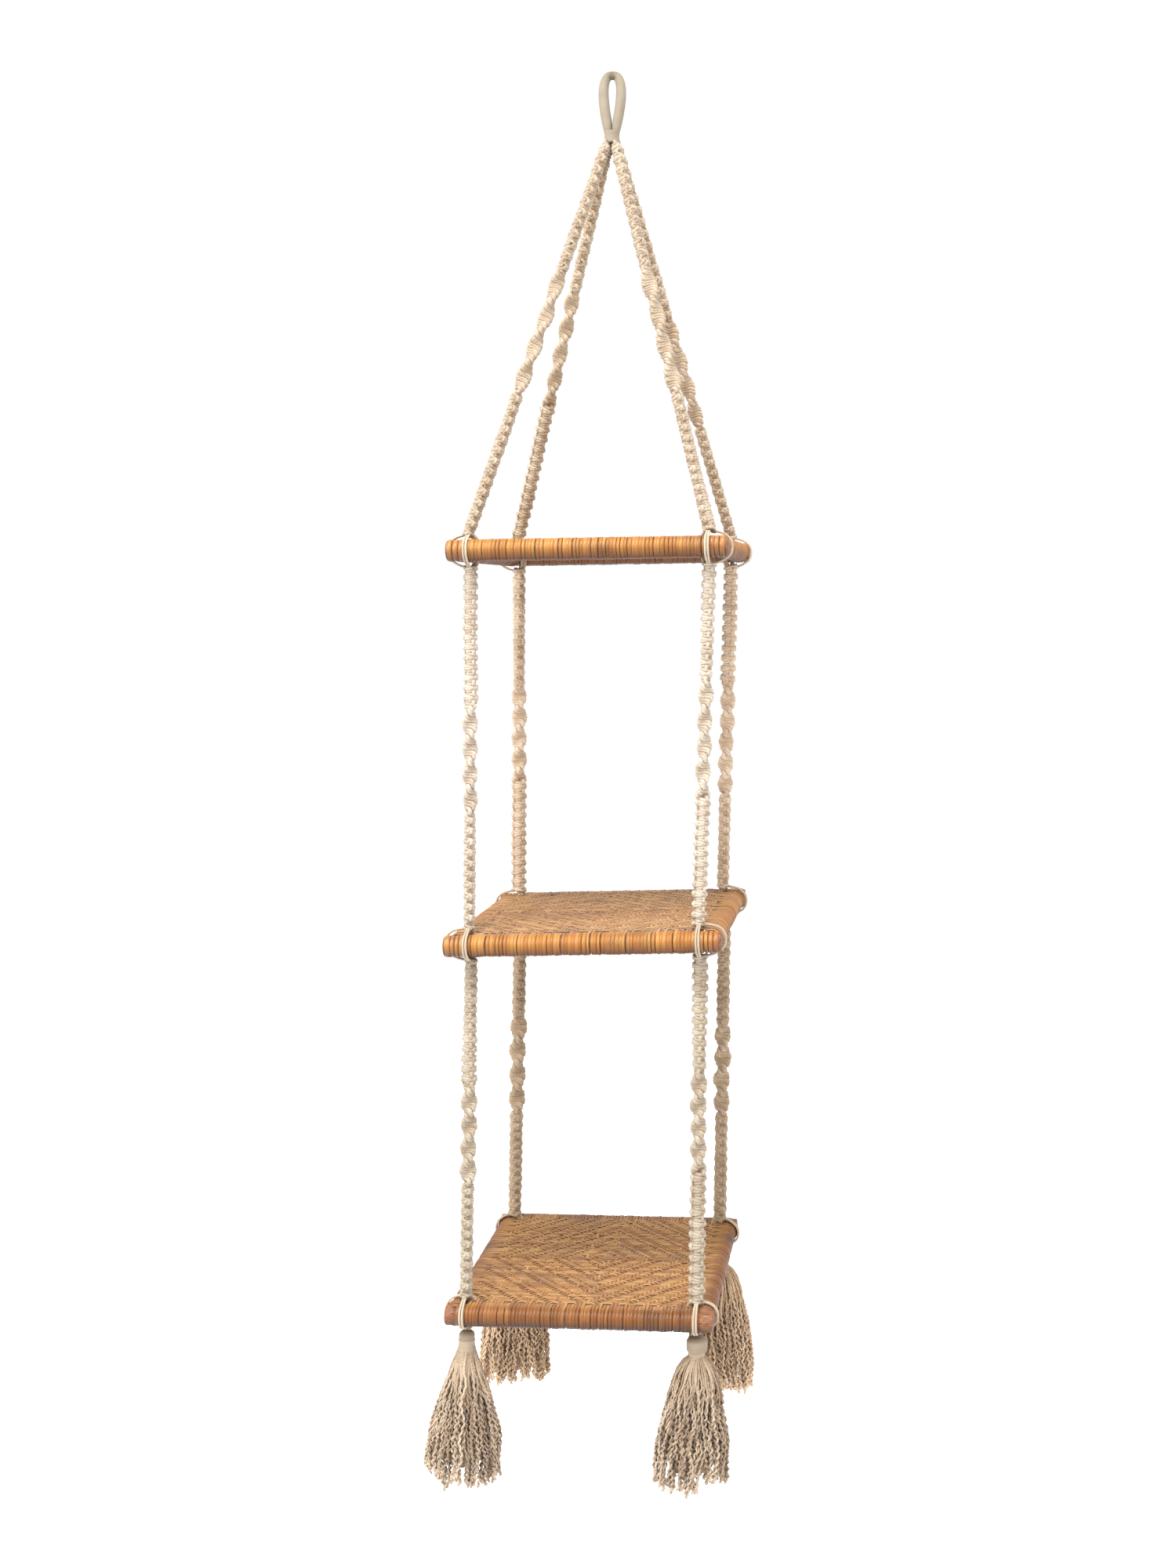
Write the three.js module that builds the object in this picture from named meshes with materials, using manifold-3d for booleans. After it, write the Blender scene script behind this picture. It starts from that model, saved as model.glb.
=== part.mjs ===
// Cord hanging shelf: a whipped hanging loop, four straps of knotted cord, three square shelves of
// rattan poles with woven seats, and a tassel under each corner of the lowest shelf.
// Millimetres, +Z up, front towards -Y. The origin is where a hook bears, under the loop's crown.
import * as THREE from 'three';
import { mergeVertices } from 'three/addons/utils/BufferGeometryUtils.js';
import Module from 'manifold-3d';

const wasm = await Module();
wasm.setup();

// Sizes shared by several pieces
const GAP = 0.3;
const CORD = 4.2;
const POLE_RADIUS = 13;
const POLE_SIDES = 12;
const SEAT_DEPTH = 320;
const STRAP_Y = SEAT_DEPTH / 2 - 27;
const DEGREE = Math.PI / 180;

// Hanging loop: a bundle of cords bent double and whipped; its legs part to leave an eye
const LOOP = {
  sides: 8,
  legRadius: 6.1,
  crownRadius: 4.8,
  eyeHalfWidth: 4.3,
  eyeLow: -51,
  footZ: -62,
  footHalfWidth: 9.2,
};
const BINDING = { top: -62.3, low: -73.6, radius: 9.4, lipRadius: 10.4, lip: 2.2, shoulder: 1.2, sides: 12 };

// Shelves, from the hook down: the level of the poles' axes, how far each one hangs out of true
// (degrees), the length of its front and back poles, and how far in from their ends the straps sit
const SHELVES = [
  { name: 'top', level: -558.6, rightUp: 1.67, backUp: -0.24, twist: 0.19, width: 320, inset: 23.5 },
  { name: 'middle', level: -1006.5, rightUp: 2.83, backUp: 0.07, twist: -0.2, width: 320, inset: 27 },
  { name: 'bottom', level: -1438.2, rightUp: 1.31, backUp: 1.06, twist: 0.01, width: 312, inset: 21 },
];
const CORNERS = [
  { name: 'front_left', x: -1, y: -1 },
  { name: 'front_right', x: 1, y: -1 },
  { name: 'back_left', x: -1, y: 1 },
  { name: 'back_right', x: 1, y: 1 },
];

// Woven seat: a thin web drawn tight between the poles, just under their crowns
const SEAT = { top: 11.5, thickness: 4, notch: 0.7, clear: 0.15, cutSides: 32 };
const POLE_END = { bare: 7, bareRadius: 11.9, step: 1.2 };

// Straps: square knots, then a spiral of half knots, then square knots again. For each strap, the
// knots above and below the spiral, the part of the strap that the spiral takes, and how far
// the band's face is turned from the front (degrees) at its top, into and out of the spiral, and at its end
const STRAPS = [
  { tier: 'upper', corner: 'front_left', above: 12, below: 13, from: 0.345, to: 0.66, turn: [90, 90, 810, 810] },
  { tier: 'upper', corner: 'back_left', above: 12, below: 14, from: 0.356, to: 0.648, turn: [90, 90, 900, 900] },
  { tier: 'upper', corner: 'front_right', above: 12, below: 13, from: 0.343, to: 0.669, turn: [60, 90, 810, 855] },
  { tier: 'upper', corner: 'back_right', above: 15, below: 11, from: 0.433, to: 0.716, turn: [60, 90, 810, 810] },
  { tier: 'middle', corner: 'front_left', above: 13, below: 10, from: 0.369, to: 0.687, turn: [15, 15, 810, 810] },
  { tier: 'middle', corner: 'back_left', above: 11, below: 11, from: 0.36, to: 0.663, turn: [45, 90, 900, 900] },
  { tier: 'middle', corner: 'front_right', above: 10, below: 12, from: 0.313, to: 0.652, turn: [20, 60, 900, 900] },
  { tier: 'middle', corner: 'back_right', above: 11, below: 9, from: 0.359, to: 0.719, turn: [30, 30, 990, 975] },
  { tier: 'lower', corner: 'front_left', above: 12, below: 10, from: 0.363, to: 0.672, turn: [70, 20, 810, 810] },
  { tier: 'lower', corner: 'back_left', above: 10, below: 11, from: 0.325, to: 0.659, turn: [45, 90, 810, 780] },
  { tier: 'lower', corner: 'front_right', above: 10, below: 11, from: 0.323, to: 0.628, turn: [15, 60, 900, 900] },
  { tier: 'lower', corner: 'back_right', above: 11, below: 10, from: 0.357, to: 0.659, turn: [60, 90, 810, 800] },
];
const BAND = {
  bump: { halfWidth: 8.9, halfThick: 4.6 },
  bar: { halfWidth: 7.1, halfThick: 6.2 },
  spiral: { halfWidth: 8.7, halfThick: 4.9 },
  end: { halfWidth: 5, halfThick: 3.8 },
  shoulder: 0.56,
  spiralStep: 60,
  settle: 0.05,
  neckShare: 0.52,
  neckGrowth: 0.07,
};
const NECK_SPREAD = 4.4;

// Where a strap meets a shelf its cords part: a pair goes round outside the front or back pole,
// a pair round outside the side pole, and the core goes straight down through the inner corner
const CROSSING = {
  knotTop: 23.5,
  knotMiddle: 20,
  knotLow: 16.5,
  pairHalfWidth: CORD,
  pairHalfThick: CORD / 2,
  wrapRadius: 16.6,
  wrapAngles: [66, 22, -26, -74],
  leave: { drop: 0.5, facing: 78 },
  rejoin: { facing: -76 },
  coreHalf: 3.3,
  coreStart: 12,
  clear: 0.7,
};

// Tassels: the whipped head, the strands' length from it, the skirt's radius, and how it leans
const TASSELS = [
  { corner: 'front_left', headRadius: 9.6, head: 16, length: 150, skirt: 42, leanX: -3, leanY: -2 },
  { corner: 'front_right', headRadius: 12.4, head: 23, length: 150, skirt: 41, leanX: -7, leanY: -2 },
  { corner: 'back_left', headRadius: 10.4, head: 20, length: 160, skirt: 43, leanX: 0, leanY: 3 },
  { corner: 'back_right', headRadius: 10.8, head: 20, length: 164, skirt: 40, leanX: 4, leanY: 3 },
];
const STRAND = {
  sides: 3,
  rootHalf: 1.25,
  endHalf: 4.4,
  wave: 2.2,
  uneven: 7,
  rings: [
    { count: 14, root: 7.3, reach: 1 },
    { count: 9, root: 4.4, reach: 0.64 },
    { count: 4, root: 1.7, reach: 0.28 },
  ],
  fall: [
    { down: -3, open: 0 },
    { down: 14, open: 0.14 },
    { down: 95, open: 0.98 },
    { down: 150, open: 1 },
  ],
};
const HEAD = { sides: 10, neckRadius: 8.9, neckHeight: 7, flare: 2, dome: 4, crownShare: 0.55 };
const BINDING_RING = { low: 0.5, high: 6, thick: 2.1 };

const cotton = (color) => new THREE.MeshStandardMaterial({ color, roughness: 0.95, metalness: 0 });
const MATERIALS = {
  loop: cotton(0xd3c3a4),
  cord: cotton(0xe1d2b6),
  tassel: cotton(0xcfbc98),
  pole: new THREE.MeshStandardMaterial({ color: 0xbd7a3c, roughness: 0.42, metalness: 0 }),
  seat: new THREE.MeshStandardMaterial({ color: 0xb9814f, roughness: 0.55, metalness: 0 }),
};

const shelfUnit = new THREE.Group();

function addPiece(parent, name, geometry, material) {
  const mesh = new THREE.Mesh(geometry, material);
  mesh.name = name;
  parent.add(mesh);
  return mesh;
}

// A closed skin through a row of rings, all with the same number of points, with its faces out
function loft(rings) {
  const sides = rings[0].length;
  const faces = [];
  for (let ring = 0; ring + 1 < rings.length; ring += 1) {
    for (let side = 0; side < sides; side += 1) {
      const a = ring * sides + side;
      const b = ring * sides + ((side + 1) % sides);
      faces.push(a, b, b + sides, a, b + sides, a + sides);
    }
  }
  const last = (rings.length - 1) * sides;
  for (let side = 1; side + 1 < sides; side += 1) {
    faces.push(0, side + 1, side, last, last + side, last + side + 1);
  }
  const geometry = new THREE.BufferGeometry().setFromPoints(rings.flat());
  geometry.setIndex(signedVolume(rings.flat(), faces) < 0 ? faces.reverse() : faces);
  return geometry;
}

function signedVolume(points, faces) {
  const product = new THREE.Vector3();
  let volume = 0;
  for (let i = 0; i < faces.length; i += 3) {
    product.crossVectors(points[faces[i + 1]], points[faces[i + 2]]);
    volume += points[faces[i]].dot(product);
  }
  return volume;
}

// Solid booleans
function toSolid(geometry) {
  const bare = geometry.clone();
  bare.deleteAttribute('normal');
  bare.deleteAttribute('uv');
  const merged = mergeVertices(bare);
  const vertProperties = new Float32Array(merged.attributes.position.array);
  const triVerts = new Uint32Array(merged.index.array);
  return new wasm.Manifold(new wasm.Mesh({ numProp: 3, vertProperties, triVerts }));
}

function toGeometry(solid) {
  const { vertProperties, triVerts } = solid.getMesh();
  const geometry = new THREE.BufferGeometry();
  geometry.setAttribute('position', new THREE.BufferAttribute(vertProperties, 3));
  geometry.setIndex(new THREE.BufferAttribute(triVerts, 1));
  return geometry;
}

function fuse(geometries) {
  const [first, ...rest] = geometries.map(toSolid);
  return toGeometry(rest.reduce((whole, solid) => whole.add(solid), first));
}

// The six points of a cord band's section, wide along one direction and thin along the other
function bandRing(centre, wide, thin, { halfWidth, halfThick }) {
  const shoulder = halfWidth * BAND.shoulder;
  const outline = [
    [halfWidth, 0],
    [shoulder, halfThick],
    [-shoulder, halfThick],
    [-halfWidth, 0],
    [-shoulder, -halfThick],
    [shoulder, -halfThick],
  ];
  return outline.map(([w, t]) => centre.clone().addScaledVector(wide, w).addScaledVector(thin, t));
}

function roundRing(centre, wide, thin, radius, sides, turn = 0) {
  const ring = [];
  for (let side = 0; side < sides; side += 1) {
    const angle = turn + (side / sides) * 2 * Math.PI;
    const point = centre.clone().addScaledVector(wide, radius * Math.cos(angle));
    ring.push(point.addScaledVector(thin, radius * Math.sin(angle)));
  }
  return ring;
}

// One half of the hanging loop, from the middle of the crown down to its foot on the binding
function loopHalf(side) {
  const { legRadius, crownRadius, eyeHalfWidth, eyeLow, footZ, footHalfWidth, sides } = LOOP;
  const footRadius = footHalfWidth / 2;
  const rows = [
    { x: -0.5, z: crownRadius, radius: crownRadius, lean: 0 },
    { x: 4.4, z: crownRadius - 0.4, radius: crownRadius + 0.2, lean: 18 },
    { x: eyeHalfWidth + 3.6, z: 0.2, radius: crownRadius + 0.6, lean: 52 },
    { x: eyeHalfWidth + legRadius - 0.3, z: -8, radius: legRadius - 0.3, lean: 80 },
    { x: eyeHalfWidth + legRadius, z: -20, radius: legRadius, lean: 91 },
    { x: eyeHalfWidth + legRadius - 1.6, z: -35, radius: legRadius, lean: 98 },
    { x: legRadius - 0.1, z: eyeLow, radius: legRadius - 0.2, lean: 102 },
    { x: footRadius - 0.1, z: footZ, radius: footRadius, lean: 90 },
  ];
  const rings = rows.map(({ x, z, radius, lean }) => {
    const centre = new THREE.Vector3(side * x, 0, z);
    const across = new THREE.Vector3(side * Math.sin(lean * DEGREE), 0, Math.cos(lean * DEGREE));
    return roundRing(centre, across, new THREE.Vector3(0, 1, 0), radius, sides);
  });
  return loft(rings);
}

function buildLoop() {
  addPiece(shelfUnit, 'hanging_loop', fuse([loopHalf(-1), loopHalf(1)]), MATERIALS.loop);
  const { top, low, radius, lipRadius, lip, shoulder, sides } = BINDING;
  const profile = [
    [0, low],
    [lipRadius, low],
    [lipRadius, low + lip],
    [radius, low + lip + shoulder],
    [radius, top],
    [0, top],
  ].map(([r, z]) => new THREE.Vector2(r, z));
  const barrel = new THREE.LatheGeometry(profile, sides).rotateX(Math.PI / 2);
  addPiece(shelfUnit, 'neck_binding', barrel, MATERIALS.loop);
}

// A pole turned to a slightly thinner bare end beyond its wrapping, lying along X
function cappedPole(length) {
  const half = length / 2;
  const { bare, bareRadius, step } = POLE_END;
  const profile = [
    [0, -half],
    [bareRadius, -half],
    [bareRadius, -half + bare],
    [POLE_RADIUS, -half + bare + step],
    [POLE_RADIUS, half - bare - step],
    [bareRadius, half - bare],
    [bareRadius, half],
    [0, half],
  ].map(([r, x]) => new THREE.Vector2(r, x));
  return new THREE.LatheGeometry(profile, POLE_SIDES).rotateZ(-Math.PI / 2);
}

// The web between the poles, cut to their round sides and notched where the straps' cores pass
function seatPanel(shelf) {
  const sideAxis = shelf.width / 2 - POLE_RADIUS;
  const endAxis = SEAT_DEPTH / 2 - POLE_RADIUS;
  const core = corePlace(shelf);
  const web = new THREE.BoxGeometry(2 * sideAxis, 2 * endAxis, SEAT.thickness);
  web.translate(0, 0, SEAT.top - SEAT.thickness / 2);
  const room = POLE_RADIUS + GAP + SEAT.clear;
  const cutters = [];
  for (const side of [-1, 1]) {
    const along = new THREE.CylinderGeometry(room, room, SEAT_DEPTH, SEAT.cutSides);
    cutters.push(along.translate(side * sideAxis, 0, 0));
    const across = new THREE.CylinderGeometry(room, room, shelf.width, SEAT.cutSides);
    cutters.push(across.rotateZ(Math.PI / 2).translate(0, side * endAxis, 0));
  }
  for (const { x, y } of CORNERS) {
    const reach = CROSSING.coreHalf + SEAT.notch;
    const size = 2 * (sideAxis - core.x + reach);
    const notch = new THREE.BoxGeometry(size, size, SEAT_DEPTH);
    cutters.push(notch.translate(x * (core.x - reach + size / 2), y * (core.y - reach + size / 2), 0));
  }
  const panel = cutters.map(toSolid).reduce((left, cutter) => left.subtract(cutter), toSolid(web));
  return toGeometry(panel);
}

// The strap's place on a shelf, and where its core goes down inside the corner of the frame
function strapX(shelf) {
  return shelf.width / 2 - shelf.inset;
}

function corePlace(shelf) {
  const inside = CROSSING.coreHalf + CROSSING.clear;
  const sideFace = shelf.width / 2 - 2 * POLE_RADIUS;
  const endFace = SEAT_DEPTH / 2 - 2 * POLE_RADIUS;
  return { x: Math.min(strapX(shelf), sideFace - inside), y: Math.min(STRAP_Y, endFace - inside) };
}

// A pair of cords laid side by side round a pole. The path is worked out in the pole's cross
// section: out is away from the shelf's middle, and the pair leaves and rejoins the strap's knots
function cordPair(strapOut, poleOut, place) {
  const { knotMiddle, pairHalfWidth, pairHalfThick, wrapRadius, wrapAngles, leave, rejoin } = CROSSING;
  const wrap = wrapAngles.map((angle) => ({
    out: poleOut + wrapRadius * Math.cos(angle * DEGREE),
    up: wrapRadius * Math.sin(angle * DEGREE),
    facing: angle,
  }));
  const path = [
    { out: strapOut, up: knotMiddle - leave.drop, facing: leave.facing },
    ...wrap,
    { out: strapOut, up: -knotMiddle, facing: rejoin.facing },
  ];
  const rings = path.map(({ out, up, facing }) => {
    const away = { out: Math.cos(facing * DEGREE), up: Math.sin(facing * DEGREE) };
    const corners = [[1, 1], [-1, 1], [-1, -1], [1, -1]];
    return corners.map(([w, t]) => place(
      out + t * pairHalfThick * away.out,
      w * pairHalfWidth,
      up + t * pairHalfThick * away.up,
    ));
  });
  return loft(rings);
}

function crossing(shelf, corner) {
  const { knotTop, knotMiddle, knotLow, coreHalf, coreStart, pairHalfWidth } = CROSSING;
  const x = strapX(shelf);
  const core = corePlace(shelf);
  const at = (px, py, pz) => new THREE.Vector3(corner.x * px, corner.y * py, pz);
  const wide = new THREE.Vector3(1, 0, 0);
  const thin = new THREE.Vector3(0, 1, 0);
  const knot = (sign) => loft([
    bandRing(at(x, STRAP_Y, sign * knotTop), wide, thin, BAND.bar),
    bandRing(at(x, STRAP_Y, sign * knotLow), wide, thin, BAND.end),
  ]);
  const squareRing = (px, py, pz) => [[1, 1], [-1, 1], [-1, -1], [1, -1]].map(
    ([a, b]) => at(px + a * coreHalf, py + b * coreHalf, pz),
  );
  const coreBundle = loft([
    squareRing(x, STRAP_Y, knotMiddle),
    squareRing(core.x, core.y, coreStart),
    squareRing(core.x, core.y, -coreStart),
    squareRing(x, STRAP_Y, -knotMiddle),
  ]);
  const endAxis = SEAT_DEPTH / 2 - POLE_RADIUS;
  const sideAxis = shelf.width / 2 - POLE_RADIUS;
  const sideY = endAxis - POLE_RADIUS - 2 * GAP - pairHalfWidth;
  const overEnd = cordPair(STRAP_Y, endAxis, (out, across, up) => at(x + across, out, up));
  const overSide = cordPair(x, sideAxis, (out, across, up) => at(out, sideY + across, up));
  return fuse([knot(1), knot(-1), coreBundle, overEnd, overSide]);
}

function buildShelf(shelf) {
  const group = new THREE.Group();
  group.position.set(0, 0, shelf.level);
  group.rotation.set(shelf.backUp * DEGREE, -shelf.rightUp * DEGREE, shelf.twist * DEGREE);
  shelfUnit.add(group);
  group.updateMatrixWorld(true);
  const endAxis = SEAT_DEPTH / 2 - POLE_RADIUS;
  const sideAxis = shelf.width / 2 - POLE_RADIUS;
  const sideLength = 2 * (endAxis - POLE_RADIUS - GAP);
  for (const [name, side] of [['front', -1], ['back', 1]]) {
    const pole = addPiece(group, `pole_${shelf.name}_${name}`, cappedPole(shelf.width), MATERIALS.pole);
    pole.position.set(0, side * endAxis, 0);
  }
  for (const [name, side] of [['left', -1], ['right', 1]]) {
    const rod = new THREE.CylinderGeometry(POLE_RADIUS, POLE_RADIUS, sideLength, POLE_SIDES);
    const pole = addPiece(group, `pole_${shelf.name}_${name}`, rod, MATERIALS.pole);
    pole.position.set(side * sideAxis, 0, 0);
  }
  addPiece(group, `seat_${shelf.name}`, seatPanel(shelf), MATERIALS.seat);
  for (const corner of CORNERS) {
    const name = `crossing_${shelf.name}_${corner.name}`;
    addPiece(group, name, crossing(shelf, corner), MATERIALS.cord);
  }
  return group;
}

// Straps
function cornerPoint(group, shelf, corner, height) {
  return group.localToWorld(new THREE.Vector3(corner.x * strapX(shelf), corner.y * STRAP_Y, height));
}

function bandRows({ above, below, from, to, turn }) {
  const [turnTop, turnIn, turnOut, turnEnd] = turn;
  const rows = [{ at: 0, angle: turnTop, size: BAND.end }];
  const knots = (count, start, end, angleStart, angleEnd) => {
    for (let knot = 0; knot < count; knot += 1) {
      for (const [share, size] of [[0.25, BAND.bump], [0.75, BAND.bar]]) {
        const part = (knot + share) / count;
        rows.push({
          at: THREE.MathUtils.lerp(start, end, part),
          angle: THREE.MathUtils.lerp(angleStart, angleEnd, part),
          size,
        });
      }
    }
  };
  knots(above, 0, from, turnTop, turnIn);
  const steps = Math.round((turnOut - turnIn) / BAND.spiralStep);
  for (let step = 0; step <= steps; step += 1) {
    rows.push({
      at: THREE.MathUtils.lerp(from, to, step / steps),
      angle: THREE.MathUtils.lerp(turnIn, turnOut, step / steps),
      size: BAND.spiral,
    });
  }
  knots(below, to, 1, turnOut, turnEnd);
  rows.push({ at: 1, angle: turnEnd, size: BAND.end });
  return rows;
}

// The upper straps start narrow under the binding
function neckGrown(at) {
  return Math.min(1, THREE.MathUtils.lerp(BAND.neckShare, 1, at / BAND.neckGrowth));
}

// Knots lie square to the strap, and turn level where the strap meets a crossing or the binding
function strapBand(start, end, strap) {
  const down = end.clone().sub(start).normalize();
  const rings = bandRows(strap).map(({ at, angle, size }) => {
    const settle = THREE.MathUtils.smoothstep(Math.min(at, 1 - at), 0, BAND.settle);
    const axis = new THREE.Vector3(0, 0, -1).lerp(down, settle).normalize();
    const wide = new THREE.Vector3(Math.cos(angle * DEGREE), -Math.sin(angle * DEGREE), 0);
    wide.addScaledVector(axis, -wide.dot(axis)).normalize();
    const thin = new THREE.Vector3().crossVectors(axis, wide);
    const grown = strap.tier === 'upper' ? neckGrown(at) : 1;
    const scaled = { halfWidth: size.halfWidth * grown, halfThick: size.halfThick * grown };
    return bandRing(start.clone().lerp(end, at), wide, thin, scaled);
  });
  return loft(rings);
}

function buildStraps(groups) {
  const tiers = { upper: 0, middle: 1, lower: 2 };
  const knotFace = CROSSING.knotTop + 2 * GAP;
  for (const strap of STRAPS) {
    const corner = CORNERS.find(({ name }) => name === strap.corner);
    const tier = tiers[strap.tier];
    const end = cornerPoint(groups[tier], SHELVES[tier], corner, knotFace);
    const start = tier === 0
      ? new THREE.Vector3(corner.x * NECK_SPREAD, corner.y * NECK_SPREAD, BINDING.low - GAP)
      : cornerPoint(groups[tier - 1], SHELVES[tier - 1], corner, -knotFace);
    const name = `strap_${strap.tier}_${strap.corner}`;
    addPiece(shelfUnit, name, strapBand(start, end, strap), MATERIALS.cord);
  }
}

// Tassels
function strand({ length, skirt, leanX, leanY }, neckZ, ring, index, seed) {
  const { sides, rootHalf, endHalf, wave, uneven, fall } = STRAND;
  const angle = ((index + 0.5 * (seed % 2)) / ring.count) * 2 * Math.PI;
  const out = new THREE.Vector3(Math.cos(angle), Math.sin(angle), 0);
  const side = new THREE.Vector3(-Math.sin(angle), Math.cos(angle), 0);
  const longest = fall[fall.length - 1].down;
  const cut = length - uneven * (0.5 + 0.5 * Math.sin(seed * 2.4 + index * 1.9));
  const rings = fall.map(({ down, open }, row) => {
    const share = Math.max(0, down) / longest;
    const drop = down < 0 ? down : share * cut;
    const radius = THREE.MathUtils.lerp(ring.root, ring.reach * skirt, open);
    const sway = row > 1 ? wave * share * (row % 2 ? 1 : -1) : 0;
    const centre = out.clone().multiplyScalar(radius).addScaledVector(side, sway);
    centre.add(new THREE.Vector3(leanX * share, leanY * share, neckZ - drop));
    const half = THREE.MathUtils.lerp(rootHalf, endHalf, Math.min(1, open * 1.3));
    return roundRing(centre, out, side, half, sides, index);
  });
  return loft(rings);
}

function tasselHead(radius, topZ, neckZ) {
  const { sides, neckRadius, neckHeight, flare, dome, crownShare } = HEAD;
  const profile = [
    [0, neckZ],
    [neckRadius, neckZ],
    [neckRadius, neckZ + neckHeight],
    [radius, neckZ + neckHeight + flare],
    [radius, topZ - dome],
    [radius * crownShare, topZ],
    [0, topZ],
  ].map(([r, z]) => new THREE.Vector2(r, z));
  return new THREE.LatheGeometry(profile, sides).rotateX(Math.PI / 2);
}

function bindingRing(neckZ) {
  const { low, high, thick } = BINDING_RING;
  const inner = (HEAD.neckRadius + GAP) / Math.cos(Math.PI / HEAD.sides);
  const profile = [
    [inner, neckZ + low],
    [inner + thick, neckZ + (low + high) / 2],
    [inner, neckZ + high],
    [inner, neckZ + low],
  ].map(([r, z]) => new THREE.Vector2(r, z));
  return new THREE.LatheGeometry(profile, HEAD.sides).rotateX(Math.PI / 2);
}

function buildTassels(group, shelf) {
  TASSELS.forEach((tassel, order) => {
    const corner = CORNERS.find(({ name }) => name === tassel.corner);
    const place = cornerPoint(group, shelf, corner, -(CROSSING.knotTop + 2 * GAP));
    const neckZ = -tassel.head;
    const strands = STRAND.rings.flatMap((ring, layer) => (
      Array.from({ length: ring.count }, (_, index) => strand(tassel, neckZ, ring, index, layer + order))
    ));
    const head = tasselHead(tassel.headRadius, 0, neckZ);
    const body = addPiece(shelfUnit, `tassel_${tassel.corner}`, fuse([head, ...strands]), MATERIALS.tassel);
    body.position.copy(place);
    const name = `tassel_binding_${tassel.corner}`;
    const binding = addPiece(shelfUnit, name, bindingRing(neckZ), MATERIALS.loop);
    binding.position.copy(place);
  });
}

buildLoop();
const shelfGroups = SHELVES.map(buildShelf);
buildStraps(shelfGroups);
buildTassels(shelfGroups[2], SHELVES[2]);

export default shelfUnit;
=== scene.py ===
import math

import bpy
import numpy as np
from mathutils import Matrix, Vector


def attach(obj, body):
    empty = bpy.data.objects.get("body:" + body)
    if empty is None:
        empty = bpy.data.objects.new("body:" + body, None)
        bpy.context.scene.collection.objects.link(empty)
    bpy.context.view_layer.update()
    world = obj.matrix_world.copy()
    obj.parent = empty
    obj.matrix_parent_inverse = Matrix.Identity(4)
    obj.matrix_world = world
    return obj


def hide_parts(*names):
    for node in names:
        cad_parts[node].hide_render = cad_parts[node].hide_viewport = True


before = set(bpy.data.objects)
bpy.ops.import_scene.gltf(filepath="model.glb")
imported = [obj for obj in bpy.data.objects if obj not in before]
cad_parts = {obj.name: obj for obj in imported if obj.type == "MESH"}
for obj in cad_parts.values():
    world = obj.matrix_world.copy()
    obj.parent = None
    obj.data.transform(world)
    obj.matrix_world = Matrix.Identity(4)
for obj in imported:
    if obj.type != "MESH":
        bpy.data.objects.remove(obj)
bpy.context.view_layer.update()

# Camera: stands in front of the shelf unit and to its right, a third of the way down it, and looks
# slightly left and down. Its lens is shifted, as in a picture cut from the side of a wider one.
# Its turns are in degrees, to the left, down and over, and its lens sizes in the photo's pixels.
camera_place = Vector((0.3588, -2.1796, -0.6004))
camera_turn = (4.998, 3.175, 0.836)
photo_height = 2000
focal_length = 2328.1
lens_shift = (-200, -120)
film_height = 36
upright = Vector((0, 0, 1))
camera = bpy.data.objects.new("camera", bpy.data.cameras.new("camera"))
bpy.context.scene.collection.objects.link(camera)
bpy.context.scene.camera = camera
yaw, pitch, roll = (math.radians(angle) for angle in camera_turn)
level_ahead = Vector((-math.sin(yaw), math.cos(yaw), 0))
level_right = Vector((math.cos(yaw), math.sin(yaw), 0))
ahead = level_ahead * math.cos(pitch) - upright * math.sin(pitch)
above = upright * math.cos(pitch) + level_ahead * math.sin(pitch)
right = level_right * math.cos(roll) + above * math.sin(roll)
above = above * math.cos(roll) - level_right * math.sin(roll)
place = Matrix((right, above, -ahead)).transposed().to_4x4()
place.translation = camera_place
camera.matrix_world = place
camera.data.sensor_fit = "VERTICAL"
camera.data.sensor_height = film_height
camera.data.lens = focal_length / photo_height * film_height
camera.data.shift_x = lens_shift[0] / photo_height
camera.data.shift_y = lens_shift[1] / photo_height

# Studio: a white room with an even white floor well below the tassels. Two soft lamps stand left
# and right of the unit and a third hangs above it in front.
room_light = 1.03
lamp_aim = Vector((0, 0, -0.8))
# Each lamp: its name, its place, its width in metres and its power in watts.
lamps = (
    ("left_lamp", (-2.2, -1.7, 0.6), 0.9, 60),
    ("right_lamp", (2.5, -1.2, 0.5), 0.9, 30),
    ("top_lamp", (-0.3, -2.2, 4.0), 1.6, 340),
)
floor_level = -2.1
floor_reach = 30
floor_white = (0.97, 0.97, 0.97, 1)
room = bpy.data.worlds.new("room")
room.use_nodes = True
room.node_tree.nodes["Background"].inputs["Color"].default_value = (1, 1, 1, 1)
room.node_tree.nodes["Background"].inputs["Strength"].default_value = room_light
bpy.context.scene.world = room
bpy.context.scene.view_settings.view_transform = "Standard"
for name, spot, size, power in lamps:
    lamp = bpy.data.objects.new(name, bpy.data.lights.new(name, "AREA"))
    bpy.context.scene.collection.objects.link(lamp)
    lamp.data.size = size
    lamp.data.energy = power
    lamp.location = spot
    lamp.rotation_euler = (lamp_aim - lamp.location).to_track_quat("-Z", "Y").to_euler()
floor_mesh = bpy.data.meshes.new("floor")
floor_signs = ((-1, -1), (1, -1), (1, 1), (-1, 1))
floor_corners = [(x * floor_reach, y * floor_reach, floor_level) for x, y in floor_signs]
floor_mesh.from_pydata(floor_corners, [], [(0, 1, 2, 3)])
floor = bpy.data.objects.new("floor", floor_mesh)
bpy.context.scene.collection.objects.link(floor)
floor_paint = bpy.data.materials.new("floor_paint")
floor_paint.use_nodes = True
floor_surface = floor_paint.node_tree.nodes["Principled BSDF"]
floor_surface.inputs["Base Color"].default_value = floor_white
floor_surface.inputs["Roughness"].default_value = 0.9
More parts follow.
